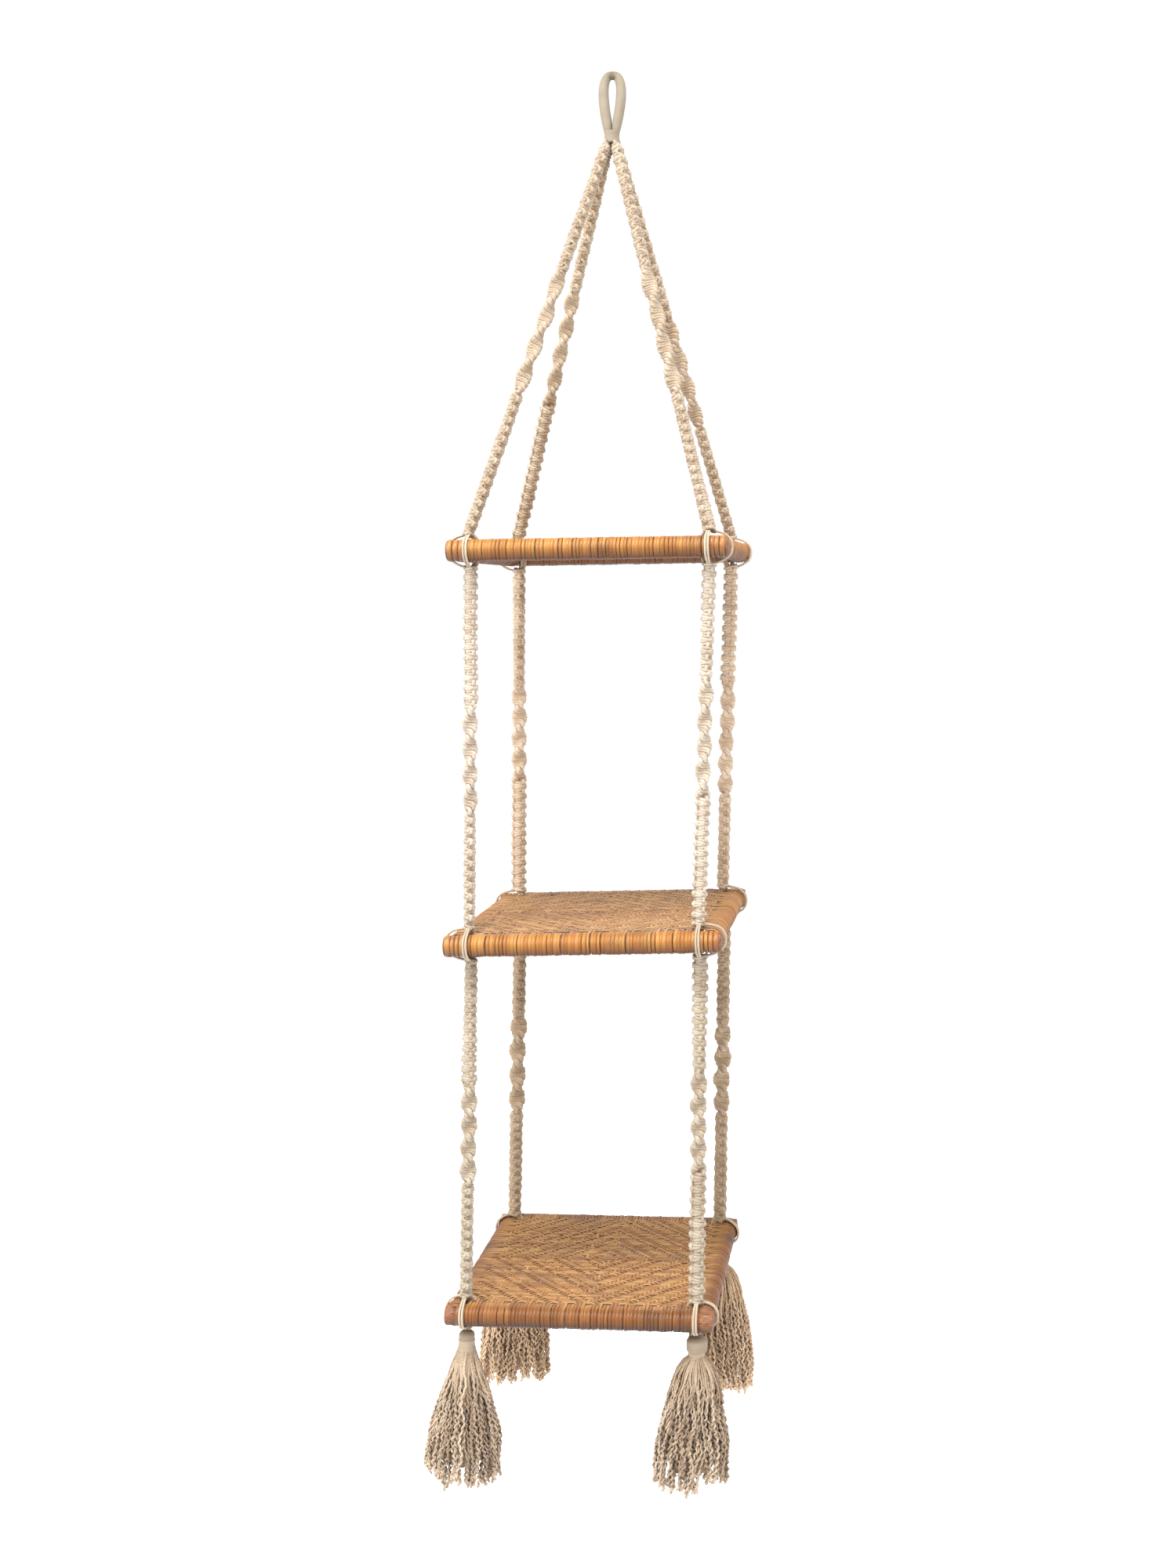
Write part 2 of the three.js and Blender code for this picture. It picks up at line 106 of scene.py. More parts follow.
floor_mesh.materials.append(floor_paint)


# Hanging loop: a bundle of cords bent double and whipped from foot to foot with fine thread,
# each turn laid against the last. On the crown the turns stand apart. Painted shade darkens the
# thread between turns, most on the crown, where the whole thread is also darker.
def smooth_line(points, steps):
    """A smooth line through points, as steps rows of the same columns. The rows are evenly spaced
    by the first three, which are a place."""
    points, between = np.asarray(points, float), 24
    padded = np.vstack([2 * points[0] - points[1], points, 2 * points[-1] - points[-2]])
    fine = []
    for i in range(1, len(padded) - 2):
        before, a, b, after = padded[i - 1 : i + 3]
        square, cube = 2 * before - 5 * a + 4 * b - after, 3 * a - before - 3 * b + after
        for t in np.linspace(0, 1, between, endpoint=False):
            fine.append(0.5 * (2 * a + (b - before) * t + square * t**2 + cube * t**3))
    fine = np.array(fine + [points[-1]])
    along = np.concatenate([[0], np.cumsum(np.linalg.norm(np.diff(fine[:, :3], axis=0), axis=1))])
    even = np.linspace(0, along[-1], steps)
    return np.stack([np.interp(even, along, column) for column in fine.T], axis=1)


def once_round(sides):
    """The angles of points evenly spaced round a ring."""
    return np.arange(sides) / sides * 2 * math.pi


def unit(vectors):
    """The same directions with a length of 1."""
    return vectors / np.maximum(np.linalg.norm(vectors, axis=-1, keepdims=True), 1e-9)


def skin(rings, tint, closed=True, lacquer=0.0):
    """A skin over rings of points: an array of pieces, rings, points round, and x y z, in mm.
    Tint and lacquer are one value, or one for each ring of each piece."""
    count, steps, sides, _ = rings.shape
    turns = sides if closed else sides - 1
    ring, side = np.meshgrid(np.arange(steps - 1), np.arange(turns), indexing="ij")
    a = ring * sides + side
    b = ring * sides + (side + 1) % sides
    faces = np.stack([a, b, b + sides, a + sides], axis=-1).reshape(-1, 4)
    faces = (faces[None] + np.arange(count)[:, None, None] * steps * sides).reshape(-1, 4)
    middle = rings.mean(axis=2)
    along = np.zeros((count, steps))
    along[:, 1:] = np.cumsum(np.linalg.norm(np.diff(middle, axis=1), axis=2), axis=1)
    corner_along = np.stack([along[:, :-1], along[:, :-1], along[:, 1:], along[:, 1:]], axis=-1)
    corner_along = np.repeat(corner_along[:, :, None, :], turns, axis=2).reshape(-1, 4)
    corner_round = np.stack([side, side + 1, side + 1, side], axis=-1).reshape(-1, 4) / turns
    corner_round = np.tile(corner_round, (count, 1))
    return {
        "points": rings.reshape(-1, 3),
        "faces": faces,
        "uv": np.stack([corner_along, corner_round], axis=-1),
        "tint": np.repeat(np.broadcast_to(tint, (count, steps)), sides, axis=1).reshape(-1),
        "lacquer": np.repeat(np.broadcast_to(lacquer, (count, steps)), sides, axis=1).reshape(-1),
    }


def tubes(paths, radius, sides, tint):
    """Round cords along paths: an array of cords, points and x y z, in mm. Tint is one value, or
    one for each cord, or one for each point. The ends are drawn in nearly to a point."""
    first_beside, end_share = (0.31, 0.85, 0.42), 0.1
    paths = np.asarray(paths, float)
    count, steps, _ = paths.shape
    ahead = unit(np.gradient(paths, axis=1))
    up = np.empty_like(paths)
    up[:, 0] = unit(np.cross(ahead[:, 0], first_beside))
    for step in range(1, steps):
        last = up[:, step - 1]
        up[:, step] = unit(last - ahead[:, step] * (last * ahead[:, step]).sum(1, keepdims=True))
    across = np.cross(ahead, up)
    angle = once_round(sides)
    radius = np.broadcast_to(np.asarray(radius, float), (count, steps)).copy()
    radius[:, [0, -1]] *= end_share
    ring = up[:, :, None] * np.cos(angle)[:, None] + across[:, :, None] * np.sin(angle)[:, None]
    if np.ndim(tint) == 1:
        tint = np.repeat(np.asarray(tint)[:, None], steps, axis=1)
    return skin(paths[:, :, None] + ring * radius[:, :, None, None], tint)


def join(parts):
    """Several skins as one."""
    start = np.cumsum([0] + [len(part["points"]) for part in parts])
    columns = ("points", "uv", "tint", "lacquer")
    joined = {column: np.concatenate([part[column] for part in parts]) for column in columns}
    joined["faces"] = np.concatenate([part["faces"] + at for part, at in zip(parts, start)])
    return joined


mm = 0.001


def piece(name, parts, material, stands_for=()):
    """One mesh of the unit, from skins in mm. It hangs with the rest and may stand for solids."""
    shape = join(parts)
    mesh = bpy.data.meshes.new(name)
    mesh.vertices.add(len(shape["points"]))
    mesh.vertices.foreach_set("co", (shape["points"] * mm).astype(np.float32).ravel())
    count = len(shape["faces"])
    mesh.loops.add(count * 4)
    mesh.loops.foreach_set("vertex_index", shape["faces"].astype(np.int32).ravel())
    mesh.polygons.add(count)
    mesh.polygons.foreach_set("loop_start", np.arange(0, count * 4, 4, dtype=np.int32))
    mesh.polygons.foreach_set("use_smooth", np.ones(count, dtype=bool))
    mesh.update(calc_edges=True)
    lay = mesh.uv_layers.new(name="lay")
    lay.data.foreach_set("uv", shape["uv"].astype(np.float32).ravel())
    for held in ("tint", "lacquer"):
        values = mesh.attributes.new(held, "FLOAT", "POINT")
        values.data.foreach_set("value", shape[held].astype(np.float32))
    mesh.validate()
    mesh.materials.append(material)
    made = bpy.data.objects.new(mesh.name, mesh)
    bpy.context.scene.collection.objects.link(made)
    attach(made, "root")
    if stands_for:
        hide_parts(*stands_for)


class Value:
    """A number in a material, which can be added to, multiplied and so on like any number."""

    def __init__(self, shader, socket):
        self.shader, self.socket = shader, socket

    def sum(self, operation, *terms):
        return self.shader.node("ShaderNodeMath", {"operation": operation}, dict(enumerate(terms)))

    def __add__(self, other):
        return self.sum("ADD", self, other)

    def __radd__(self, other):
        return self.sum("ADD", other, self)

    def __sub__(self, other):
        return self.sum("SUBTRACT", self, other)

    def __rsub__(self, other):
        return self.sum("SUBTRACT", other, self)

    def __mul__(self, other):
        return self.sum("MULTIPLY", self, other)

    def __truediv__(self, other):
        return self.sum("DIVIDE", self, other)

    def sine(self):
        return self.sum("SINE", self)

    def size(self):
        """Without its sign."""
        return self.sum("ABSOLUTE", self)

    def kept(self):
        """Held between 0 and 1."""
        return self.sum("MAXIMUM", self.sum("MINIMUM", self, 1.0), 0.0)


class Shader:
    """A material built from nodes."""

    def __init__(self, name, **fixed):
        self.material = bpy.data.materials.new(name)
        self.material.use_nodes = True
        self.tree = self.material.node_tree
        self.surface = self.tree.nodes["Principled BSDF"]
        for socket, value in fixed.items():
            self.surface.inputs[socket.replace("_", " ")].default_value = value

    def node(self, kind, settings, inputs, output=0):
        """A node of a kind, its settings first and then the value or link of each socket."""
        made = self.tree.nodes.new(kind)
        for setting, value in settings.items():
            setattr(made, setting, value)
        for place, value in inputs.items():
            if isinstance(value, Value):
                self.tree.links.new(value.socket, made.inputs[place])
            else:
                made.inputs[place].default_value = value
        return Value(self, made.outputs[output])

    def attribute(self, name):
        return self.node("ShaderNodeAttribute", {"attribute_name": name}, {}, "Fac")

    def lay(self):
        """How far along the piece, in mm, and how far round it, from 0 to 1."""
        uv = self.node("ShaderNodeUVMap", {"uv_map": "lay"}, {})
        along = self.node("ShaderNodeSeparateXYZ", {}, {0: uv}, "X")
        return along, Value(self, along.socket.node.outputs["Y"])

    def point(self, x, y, z=0.0):
        return self.node("ShaderNodeCombineXYZ", {}, {0: x, 1: y, 2: z})

    def position(self):
        return self.node("ShaderNodeTexCoord", {}, {}, "Object")

    def underside(self):
        """0 on faces that look up, and towards 1 on those that look down. It paints shade on the
        lower faces of poles, canes and strips, and parts the web's dark top from its underside.
        """
        facing = self.node("ShaderNodeNewGeometry", {}, {}, "Normal")
        up = self.node("ShaderNodeSeparateXYZ", {}, {0: facing}, "Z")
        return ((0.2 - up * 0.6) * 1.4).kept()

    def noise(self, where, scale, detail=2.0):
        return self.node("ShaderNodeTexNoise", {}, {"Vector": where, "Scale": scale, "Detail": detail})

    def blend(self, share, first, second):
        """From the first colour to the second, each a blend itself or red, green and blue."""
        first, second = (end if isinstance(end, Value) else (*end, 1) for end in (first, second))
        mix = {"data_type": "RGBA", "clamp_factor": True}
        return self.node("ShaderNodeMix", mix, {0: share, 6: first, 7: second}, 2)

    def feed(self, socket, value):
        self.tree.links.new(value.socket, self.surface.inputs[socket])

    def finish(self, colour, height=None, depth=0.0, strength=1.0):
        self.feed("Base Color", colour)
        if height is not None:
            ridges = {"Strength": strength, "Distance": depth, "Height": height}
            self.feed("Normal", self.node("ShaderNodeBump", {}, ridges))
        return self.material


def whipping_material(name, thread, gap):
    shader = Shader(name, Roughness=0.9)
    stains = shader.noise(shader.position(), 55.0)
    tint = shader.attribute("tint")
    # The gap colour is painted shade between the turns: where the tint is low, it blends toward it. The
    # stains are real.
    share = (tint * (0.62 + stains * 0.7)).kept()
    return shader.finish(shader.blend(share, gap, thread))


whipping = whipping_material("whipping", (0.275, 0.23, 0.172), (0.13, 0.092, 0.062))
loop_side = [
    (-4.5, 0, -62, 4.6),
    (-6.0, 0, -51, 5.9),
    (-8.8, 0, -35, 6.1),
    (-10.4, 0, -20, 6.1),
    (-10.1, 0, -8, 5.8),
    (-7.9, 0, 0.2, 5.4),
    (-4.4, 0, 4.2, 5.0),
]
loop_top = (0, 0, 4.8, 4.8)
loop_steps = 660
loop_length = 155
crown_half_width, crown_foot = 5.5, -8
thread_width = 0.95
rib_depth, crown_rib_depth, neck_rib_depth = 0.13, 0.55, 0.16
mean_rib = 0.7
loop_rows = loop_side + [loop_top] + [(-x, y, z, thick) for x, y, z, thick in reversed(loop_side)]
loop_line = smooth_line(loop_rows, loop_steps)
loop_along = np.linspace(0, loop_length, loop_steps)
rib = np.abs(np.sin(math.pi * loop_along / thread_width))
on_crown = np.exp(-((loop_line[:, 0] / crown_half_width) ** 2)) * (loop_line[:, 2] > crown_foot)
loop_radius = loop_line[:, 3] + (rib - mean_rib) * (rib_depth + crown_rib_depth * on_crown)
# The tint is low between turns, as painted shade, and the whole crown is darker still.
loop_tint = 0.75 + 0.25 * rib**0.5 - on_crown * (0.5 + 0.5 * (1 - rib))
loop = tubes(loop_line[None, :, :3], loop_radius[None], 14, loop_tint[None])
piece("loop", [loop], whipping, ["hanging_loop"])


# Neck binding: the same thread wound round the loop's two feet, ending in a thicker collar
# where the strap cords come out below.
def wound(profile, turn_width, turn_depth, place=(0, 0, 0)):
    """A body of thread turns about an upright axis, with no ribs near the axis. The profile holds
    rows of radius and height."""
    sides, steps_per_turn, ribs_from = 22, 3, 2
    outline = smooth_line(profile, 400)
    length = np.sum(np.linalg.norm(np.diff(outline, axis=0), axis=1))
    steps = int(length / turn_width * steps_per_turn)
    line = smooth_line(profile, steps)
    rib = np.abs(np.sin(math.pi * np.linspace(0, length, steps) / turn_width))
    radius = np.maximum(line[:, 0] + (rib - mean_rib) * turn_depth * (line[:, 0] > ribs_from), 0.01)
    angle = once_round(sides)
    radius, height = radius[:, None], line[:, 1:] + 0 * angle
    rings = np.stack([radius * np.cos(angle), radius * np.sin(angle), height], axis=-1) + place
    # The tint is low between turns, where it paints shade in the gaps.
    return skin(rings[None, ::-1], (0.4 + 0.6 * rib**0.5)[None, ::-1])


neck_profile = [(0.2, -59.4), (8.3, -60.2), (9.0, -62), (8.8, -66), (9.2, -69.5)]
neck_profile += [(10.2, -72.6), (10.3, -74), (7, -75), (0.2, -75)]
neck_turns = wound(neck_profile, thread_width, neck_rib_depth)
piece("neck_thread", [neck_turns], whipping, ["neck_binding"])

# Poles: rattan canes, two long ones at the front and back of each shelf with the side canes
# butted between them. The seat's own strips wrap them, and short turns of lacquered peel cover
# the corners; the lowest shelf's long canes show bare wood at the ends.
shelves = {
    "top": dict(level=-558.6, right_up=1.67, back_up=-0.24, twist=0.19, width=320, inset=23.5),
    "middle": dict(level=-1006.5, right_up=2.83, back_up=0.07, twist=-0.2, width=320, inset=27),
    "bottom": dict(level=-1438.2, right_up=1.31, back_up=1.06, twist=0.01, width=312, inset=21),
}
shelf_age = {"top": "fresh", "middle": "fresh", "bottom": "worn"}
bare_ends = {"top": (2.5, 2.5), "middle": (2.5, 3), "bottom": (13, 17)}
depth = 320
cane_radius = 11.6
peel_radius = 12.5
pole_inset = 13
peel_pitch = 4.15
pole_width = 2 * pole_inset
peel_gaps, gap_odds = (0.15, 0.35, 0.7, 1.3), (0.3, 0.35, 0.25, 0.1)
peel_edge, edge_sink, side_sink = 0.25, 0.3, 1.3
peel_shading = np.array([0.25, 0.9, 1, 0.9, 0.25])
corner_wrap = 5.6
end_wraps = {"top": 1, "middle": 1, "bottom": 6}
end_wrap, end_wrap_pitch, end_wrap_sides = 3.2, 2.9, 28
end_wrap_rise, end_wrap_out = 0.2, 0.25
side_cane_tuck, side_cane_bare = 1.2, (1.7, 1.7)


def on_shelf(shelf, points):
    """From a shelf's own millimetres to the unit's."""
    row = shelves[shelf]
    turn = (
        Matrix.Rotation(math.radians(row["back_up"]), 3, "X")
        @ Matrix.Rotation(math.radians(-row["right_up"]), 3, "Y")
        @ Matrix.Rotation(math.radians(row["twist"]), 3, "Z")
    )
    return np.asarray(points, float) @ np.array(turn).T + [0, 0, row["level"]]


def laid(shelf, part, quarter=False, move=(0, 0, 0)):
    """A skin taken from a shelf's own millimetres to the unit's, first turned from along x to
    along y where quarter is true, and moved."""
    points = part["points"]
    if quarter:
        points = np.stack([-points[:, 1], points[:, 0], points[:, 2]], axis=-1)
    return {**part, "points": on_shelf(shelf, points + np.array(move, float))}


def three_way(shader, share, low, middle, high):
    """A blend from the low colour through the middle one to the high one."""
    upper = shader.blend((share * 2.0).kept(), low, middle)
    return shader.blend(((share - 0.5) * 2.0).kept(), upper, high)


def peel_material(name, brown, amber, pale, dark):
    shader = Shader(name, Roughness=0.42, Coat_Weight=0.12, Coat_Roughness=0.35)
    along, round_ = shader.lay()
    tint = shader.attribute("tint")
    streaks = shader.noise(shader.point(along * 0.9, round_ * 3.0, tint * 40.0), 5.0, 3.0)
    blotches = shader.noise(shader.position(), 24.0, 3.0)
    share = (tint * 0.45 + streaks * 0.5 + (blotches - 0.5) * 0.8).kept()
    body = three_way(shader, share, brown, amber, pale)
    stained_and_shaded = shader.blend(((blotches - 0.53) * 5.0).kept() * 0.6, body, dark)
    # Painted shade: faces that look down are blended to the dark colour, which above also serves the real
    # stains.
    stained_and_shaded = shader.blend(shader.underside(), stained_and_shaded, dark)
    return shader.finish(stained_and_shaded, streaks, 0.0003, 0.35)


def bare_cane_material():
    """Bare cane, with painted shade on its lower faces. Under the wraps, where its tint is nothing, it is
    painted dark, as the shade in the gaps between turns.
    """
    shader = Shader("bare_cane", Roughness=0.5)
    along, round_ = shader.lay()
    fibres = shader.noise(shader.point(along * 0.04, round_ * 16.0), 3.0, 3.0)
    broad = shader.noise(shader.position(), 45.0, 2.0)
    share = ((fibres - 0.5) * 2.6 + broad * 0.6 + 0.1).kept()
    wood = shader.blend(share, (0.10, 0.03, 0.01), (0.36, 0.15, 0.05))
    wood = shader.blend(shader.underside(), wood, (0.09, 0.028, 0.01))
    colour = shader.blend(shader.attribute("tint"), (0.10, 0.036, 0.012), wood)
    return shader.finish(colour, fibres, 0.0004, 0.6)


# Each age of peel: brown, amber and pale, and a dark colour used both for real stains and for painted
# shade on lower faces.
peel_colours = {
    "fresh": ((0.19, 0.06, 0.009), (0.37, 0.147, 0.026), (0.53, 0.29, 0.08), (0.085, 0.024, 0.006)),
    "worn": ((0.10, 0.028, 0.005), (0.20, 0.068, 0.0125), (0.32, 0.145, 0.036), (0.03, 0.009, 0.004)),
}
peel = {age: peel_material(f"{age}_peel", *colours) for age, colours in peel_colours.items()}
bare_cane = bare_cane_material()


def wraps(start, end, widths, rng, radius=peel_radius, sides=18):
    """Turns of peel round a pole along x from start to end, with the given widths in mm."""
    rings, tints = [], []
    angle = once_round(sides)
    at = start
    shade = 0.5
    for width in widths:
        if at + width > end:
            break
        gap = rng.choice(peel_gaps, p=gap_odds)
        crown = radius + rng.uniform(-0.3, 0.3)
        lean = rng.uniform(-0.5, 0.5)
        turn = rng.uniform(0, 2 * math.pi)
        half = (width - gap) / 2
        flank = half - peel_edge
        rows = []
        section = ((-half, side_sink), (-flank, edge_sink), (0, 0), (flank, edge_sink), (half, side_sink))
        for off, sink in section:
            x = at + width / 2 + off + lean * np.sin(angle + turn)
            r = crown - sink
            rows.append(np.stack([x, r * np.cos(angle), r * np.sin(angle)], axis=-1))
        rings.append(rows)
        # Each turn gets its own random tone. peel_shading paints its edges darker, as shade in the gaps
        # between turns.
        shade = np.clip(0.35 * shade + 0.65 * rng.uniform(0, 1.05), 0, 1)
        tints.append(shade * peel_shading)
        at += width
    return skin(np.array(rings), np.array(tints))


def cane(start, end, bare):
    """A cane along x, its ends sawn and rubbed round, with a bare stretch at each end."""
    sawn = ((0, 0.05), (0, 6), (0.5, cane_radius - 1.2), (1.6, cane_radius))
    step, wrapped_radius, angle = 0.4, cane_radius - 0.6, once_round(24)
    rows = [(start + back, r, 1) for back, r in sawn]
    rows += [(start + bare[0], cane_radius, 1), (start + bare[0] + step, wrapped_radius, 0)]
    rows += [(end - bare[1] - step, wrapped_radius, 0), (end - bare[1], cane_radius, 1)]
    rows += [(end - back, r, 1) for back, r in reversed(sawn)]
    # Wood is 1 where the cane is bare and 0 under the wraps, where it is painted dark as shade in the
    # gaps.
    x, r, wood = np.array(rows, float).T[:, :, None]
    rings = np.stack([x + 0 * angle, r * np.cos(angle), r * np.sin(angle)], axis=-1)
    return skin(rings[None], wood.T)


rng = np.random.default_rng(7)
for shelf, row in shelves.items():
    half_width, half_depth = row["width"] / 2, depth / 2
    finish = peel[shelf_age[shelf]]
    bare = bare_ends[shelf]
    for side, y in (("front", -1), ("back", 1)):
        move = (0, y * (half_depth - pole_inset), 0)
        pole = laid(shelf, cane(-half_width, half_width, bare), False, move)
        piece(f"cane_{shelf}_{side}", [pole], bare_cane, [f"pole_{shelf}_{side}"])
        turns = []
        for end, bare_end in ((-1, bare[0]), (1, bare[1])):
            length = pole_width - bare_end
            count = max(2, round(length / corner_wrap))
            width = rng.uniform(0.8, 1.2, count)
            width = width / width.sum() * length * 0.999
            start = -half_width + bare_end if end < 0 else half_width - pole_width
            turns.append(laid(shelf, wraps(start, start + length, width, rng), False, move))
        piece(f"peel_{shelf}_{side}", turns, finish)
    reach = half_depth - pole_width + side_cane_tuck
    for side, x in (("left", -1), ("right", 1)):
        move = (x * (half_width - pole_inset), 0, 0)
        pole = laid(shelf, cane(-reach, reach, side_cane_bare), True, move)
        piece(f"cane_{shelf}_{side}", [pole], bare_cane, [f"pole_{shelf}_{side}"])
        turns = []
        over_end = end_wraps[shelf]
        for end in (-1, 1):
            for number in range(over_end):
                nearest = half_depth - pole_width - end_wrap / 2 + number * end_wrap_pitch
                start = end * nearest - (0 if end > 0 else end_wrap)
                built_up = peel_radius + end_wrap_rise * (over_end - number)
                out = (move[0] + x * end_wrap_out * (over_end - 1), 0, 0)
                turn = wraps(start, math.inf, [end_wrap], rng, built_up, end_wrap_sides)
                turns.append(laid(shelf, turn, True, out))
        piece(f"peel_{shelf}_{side}", turns, finish)

# Seats: strips of split cane woven over and under in a twill that turns back at the middle
# lines, so that it makes diamonds one inside another. Each strip is carried on round the poles at
# its two ends. The solid web under the strips is painted dark on top, as painted shade for the
# depths of the weave seen through the gaps, and has the weave's underside below.
weave_level = 12.0
weave_rise = 0.75
strip_width = 4.35
strip_profile = ((-0.5, -1.1), (-0.4, -0.04), (0.4, -0.04), (0.5, -1.1))
twill_repeat = 9
cross_on_top = (0, 1, 2, 3, 5, 6)
pole_turn = np.radians(-12 + 22.5 * np.arange(14))
# How much wider a strip lies on the poles than on the seat, and how often.
spare_widths, spare_odds = (-0.5, 0.1, 0.9), (0.12, 0.33, 0.55)
fault_share = 0.03


def strip_material(name, seat_colours, pole_colours):
    """Matt and dusty on the seat, and still lacquered where it goes round the poles. Its side faces
    are painted dark as shade in the slits of the weave, less so on the poles, and its lower faces on
    the poles carry painted shade.
    """
    shader = Shader(name, Specular_IOR_Level=0.3, Coat_Roughness=0.35)
    along, round_ = shader.lay()
    tint, lacquer = shader.attribute("tint"), shader.attribute("lacquer")
    streaks = shader.noise(shader.point(along * 0.12, round_ * 3.0, tint * 60.0), 7.0, 3.0)
    blotches = shader.noise(shader.position(), 17.0, 3.0)
    share = (tint * 0.8 + streaks * 0.7 - 0.25).kept()
    pole_share = (tint * 0.38 + streaks * 0.55 + (blotches - 0.5) * 0.8 + 0.04).kept()
    on_pole = three_way(shader, pole_share, *pole_colours[:3])
    # Painted shade on the lower faces round the poles.
    on_pole = shader.blend(shader.underside(), on_pole, pole_colours[3])
    body = shader.blend(lacquer, three_way(shader, share, *seat_colours[:3]), on_pole)
    stain = shader.blend(lacquer, seat_colours[3], pole_colours[3])
    stained_and_shaded = shader.blend(((blotches - 0.52) * 4.5).kept() * (0.58 + lacquer * 0.2), body, stain)
    # Painted shade: the strip's side faces are darkened, as in the slits between strips.
    side_shade = (((round_ - 0.5).size() - 0.18) * 9.0).kept()
    shade = shader.blend(side_shade * (0.92 - lacquer * 0.42), stained_and_shaded, (0.04, 0.015, 0.006))
    shader.feed("Coat Weight", lacquer * 0.12)
    shader.feed("Roughness", 0.52 - lacquer * 0.1)
    return shader.finish(shade, streaks, 0.0003, 0.4)


strip_colours = {
    "fresh": {
        "cross": ((0.22, 0.095, 0.033), (0.34, 0.175, 0.064), (0.44, 0.265, 0.12), (0.135, 0.065, 0.034)),
        "long": ((0.19, 0.08, 0.033), (0.31, 0.15, 0.06), (0.41, 0.235, 0.105), (0.105, 0.055, 0.037)),
    },
    "worn": {
        "cross": ((0.21, 0.085, 0.026), (0.33, 0.16, 0.05), (0.43, 0.25, 0.095), (0.13, 0.062, 0.034)),
        "long": ((0.20, 0.08, 0.03), (0.32, 0.15, 0.05), (0.43, 0.24, 0.09), (0.10, 0.052, 0.036)),
    },
}
strips = {
    (age, way): strip_material(f"{age}_{way}_strip", colours, peel_colours[age])
    for age, ways in strip_colours.items()
    for way, colours in ways.items()
}
web = Shader("web_shade", Roughness=0.7)
check_size = {"Vector": web.position(), "Scale": 1 / (peel_pitch * mm)}
check = web.node("ShaderNodeTexChecker", {}, check_size, "Fac")
grain = []
for stretch in ((28, 240, 1), (240, 28, 1)):
    along_strip = {0: web.position(), 1: stretch}
    grain.append(web.noise(web.node("ShaderNodeVectorMath", {"operation": "MULTIPLY"}, along_strip), 1.0))
streaks = (grain[0] - 0.5) * check + (grain[1] - 0.5) * (1 - check)
web_share = (streaks * 2.5 + 0.25 + check * 0.4).kept()
web_under = web.blend(web_share, (0.15, 0.06, 0.022), (0.42, 0.22, 0.085))
# Painted shade: the web's upward faces take the dark colour.
web_with_shaded_top = web.blend(web.underside(), (0.18, 0.08, 0.028), web_under)
web_material = web.finish(web_with_shaded_top, check, 0.0008, 0.9)


def strip_row(count, pitch, heights, pole_at, rng):
    """Strips along x, at y steps of pitch, woven to the heights given for each strip, and then
    wound once round the poles, whose middles are at x = -pole_at and pole_at."""
    places = (np.arange(count) - (count - 1) / 2) * pitch
    crossings = (np.arange(heights.shape[1]) - (heights.shape[1] - 1) / 2) * pitch
    around = len(pole_turn)
    on_pole = np.concatenate([np.ones(around), 0 * crossings, np.ones(around)])
    rings, tints = [], []
    for strip in range(count):
        wide = strip_width * rng.uniform(0.86, 1.02)
        crown = peel_radius + rng.uniform(-0.3, 0.45)
        lean = rng.uniform(-0.6, 0.6, 2)
        spare = rng.choice(spare_widths, p=spare_odds)
        waver = rng.uniform(-0.4, 0.4, len(crossings))
        slip = rng.uniform(-0.8, 0.8, 2)[:, None] * np.clip((pole_turn + 0.2) / 0.7, 0, 1)
        left_off = lean[0] * np.sin(pole_turn[::-1]) + slip[0, ::-1]
        off = np.concatenate([left_off, waver, lean[1] * np.sin(pole_turn) + slip[1]])
        rows = []
        for across, lift in strip_profile:
            turn_x, turn_z = (crown + lift) * np.sin(pole_turn), (crown + lift) * np.cos(pole_turn)
            x = np.concatenate([-pole_at - turn_x[::-1], crossings, pole_at + turn_x])
            z = np.concatenate([turn_z[::-1], weave_level + heights[strip] + lift, turn_z])
            y = places[strip] + across * (wide + spare * on_pole) + off
            rows.append(np.stack([x, y, z], axis=-1))
        rings.append(np.stack(rows, axis=1))
        tints.append(np.full(len(x), rng.uniform(0.05, 1.0)))
    fade = np.concatenate([np.linspace(0.3, 1, 3), np.ones(around - 3)])
    lacquer = np.concatenate([fade[::-1], 0 * crossings, fade])
    return skin(np.array(rings), np.array(tints), False, lacquer)


for shelf, row in shelves.items():
    rng = np.random.default_rng(11 + len(shelf))
    age = shelf_age[shelf]
    reach_x = row["width"] / 2 - pole_width
    reach_y = depth / 2 - pole_width
    across = 2 * int(reach_x / peel_pitch) + 1
    deep = 2 * int(reach_y / peel_pitch) + 1
    off_middle = 2 if shelf == "bottom" else 0
    i, j = np.meshgrid(np.arange(across) - across // 2 - off_middle, np.arange(deep) - deep // 2)
    cross_over = np.isin((np.abs(i) + np.abs(j)) % twill_repeat, cross_on_top)
    faults = rng.uniform(0, 1, cross_over.shape) < fault_share
    lift = np.where(cross_over ^ faults, weave_rise, -weave_rise)
    lift = lift + rng.uniform(-0.25, 0.25, cross_over.shape)
    crosswise = strip_row(deep, peel_pitch, lift, reach_x + pole_inset, rng)
    lengthwise = strip_row(across, peel_pitch, -lift.T, reach_y + pole_inset, rng)
    piece(f"cross_strips_{shelf}", [laid(shelf, crosswise)], strips[age, "cross"])
    piece(f"long_strips_{shelf}", [laid(shelf, lengthwise, True)], strips[age, "long"])
    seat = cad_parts[f"seat_{shelf}"]
    seat.data.materials.clear()
    seat.data.materials.append(web_material)

# Straps: two pairs of working cords tied in square knots round a core of four, then half
# knots all tied from the same side so that the strap turns on itself, then square knots again.
strap_y = 133
knot_face = 24.1
knot_length = 12.3
